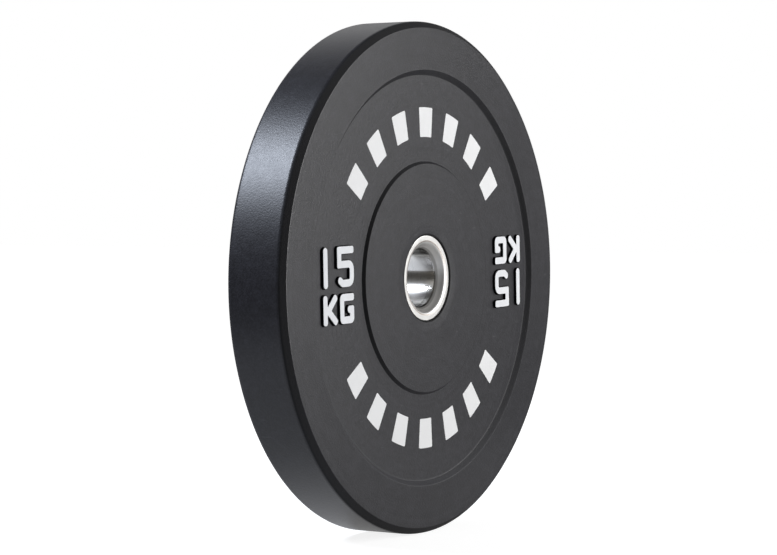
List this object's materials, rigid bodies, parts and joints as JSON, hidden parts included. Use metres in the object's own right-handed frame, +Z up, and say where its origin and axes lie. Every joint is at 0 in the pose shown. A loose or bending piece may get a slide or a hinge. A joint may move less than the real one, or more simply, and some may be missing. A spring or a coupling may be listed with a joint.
{
  "type": "bumper plate",
  "caption": "Round rubber weight plate for a barbell, with a recessed web on both sides, a steel-lined centre bore and raised white weight markings.",
  "frame": {"origin": "centre of the bore, on the plate's mid-plane, which is also the centre of its box", "axes": "+Y along the bore's axis, with the front face looking along -Y; +Z up, the plate standing on its tread; +X to the right of the front face"},
  "size_m": [0.4496, 0.058, 0.4496],
  "materials": {
    "rubber": "satin moulded, fine grain",
    "white_skin": "smooth matt white",
    "stainless": "turned and polished",
    "mild_steel": "plain cut plate"
  },
  "bodies": {
    "root": {"rubber_body": "rubber", "hub_sleeve": "stainless", "hub_collar_front": "stainless", "hub_collar_back": "stainless", "anchor_plate": "mild_steel", "weld_bead_front": "mild_steel", "weld_bead_back": "mild_steel", "digit_1_front_left": "white_skin", "digit_5_front_left": "white_skin", "letter_k_front_left": "white_skin", "letter_g_front_left": "white_skin", "digit_1_front_right": "white_skin", "digit_5_front_right": "white_skin", "letter_k_front_right": "white_skin", "letter_g_front_right": "white_skin", "digit_1_back_left": "white_skin", "digit_5_back_left": "white_skin", "letter_k_back_left": "white_skin", "letter_g_back_left": "white_skin", "digit_1_back_right": "white_skin", "digit_5_back_right": "white_skin", "letter_k_back_right": "white_skin", "letter_g_back_right": "white_skin"}
  },
  "joints": []
}
